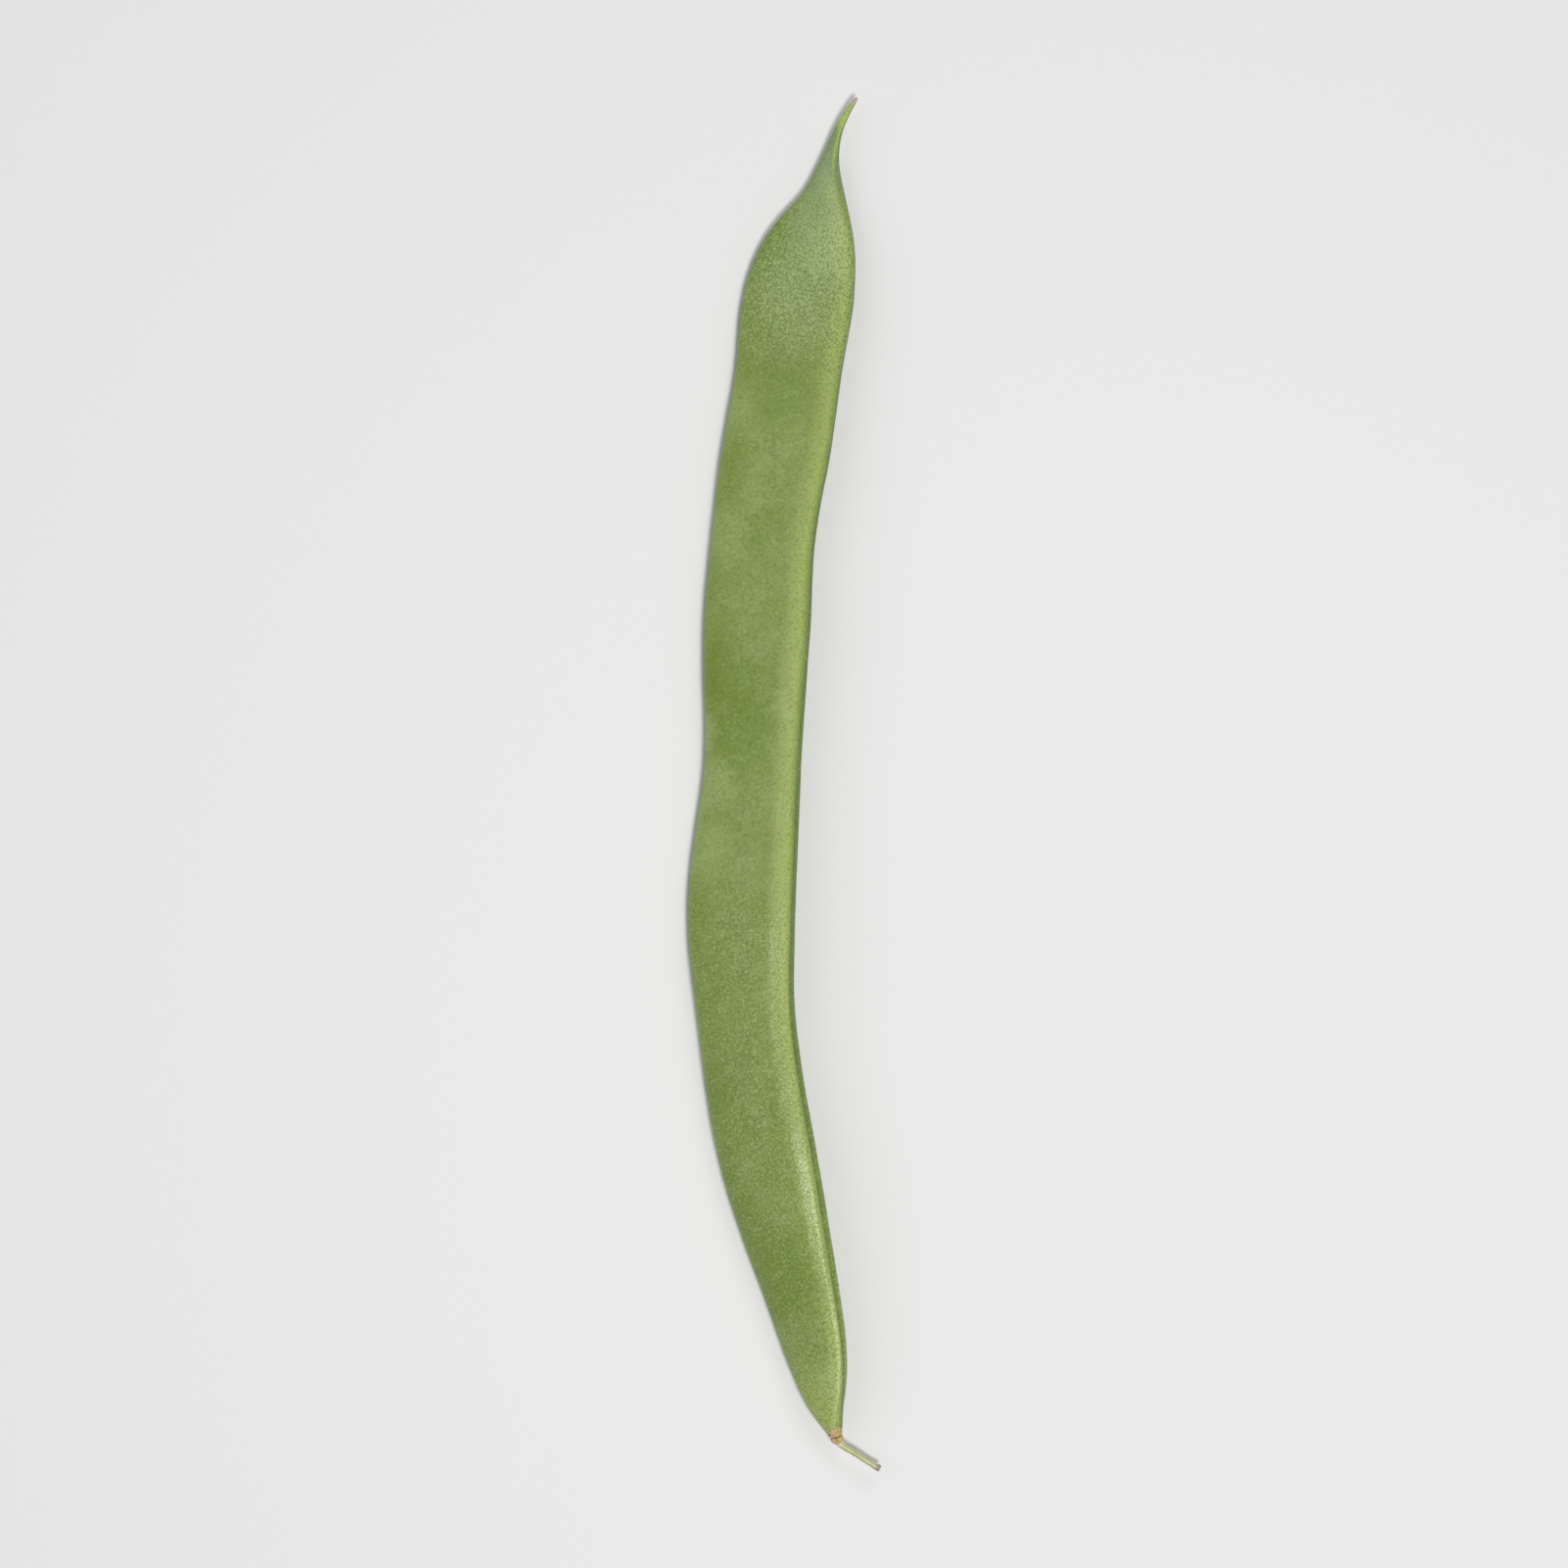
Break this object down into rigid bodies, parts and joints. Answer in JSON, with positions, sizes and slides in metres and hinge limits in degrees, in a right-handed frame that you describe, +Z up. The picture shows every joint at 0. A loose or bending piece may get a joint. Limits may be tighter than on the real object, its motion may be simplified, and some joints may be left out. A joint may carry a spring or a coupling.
{
  "type": "green bean",
  "caption": "Long flat-podded green bean, picked with its dried calyx and a short thin stalk, gently curved and twisted, with a pointed beak, lying on its broad side.",
  "frame": {"origin": "under the middle of the bean's box, on the surface that it lies on", "axes": "+Y from the stalk towards the beak, +X towards the belly seam, +Z up from the surface"},
  "size_m": [0.0314, 0.2248, 0.0105],
  "materials": {
    "bean_skin": "satin",
    "dried_calyx": "matte",
    "stalk_skin": "matte"
  },
  "bodies": {
    "root": {"pod": "bean_skin", "calyx": "dried_calyx", "stalk": "stalk_skin"}
  },
  "joints": []
}
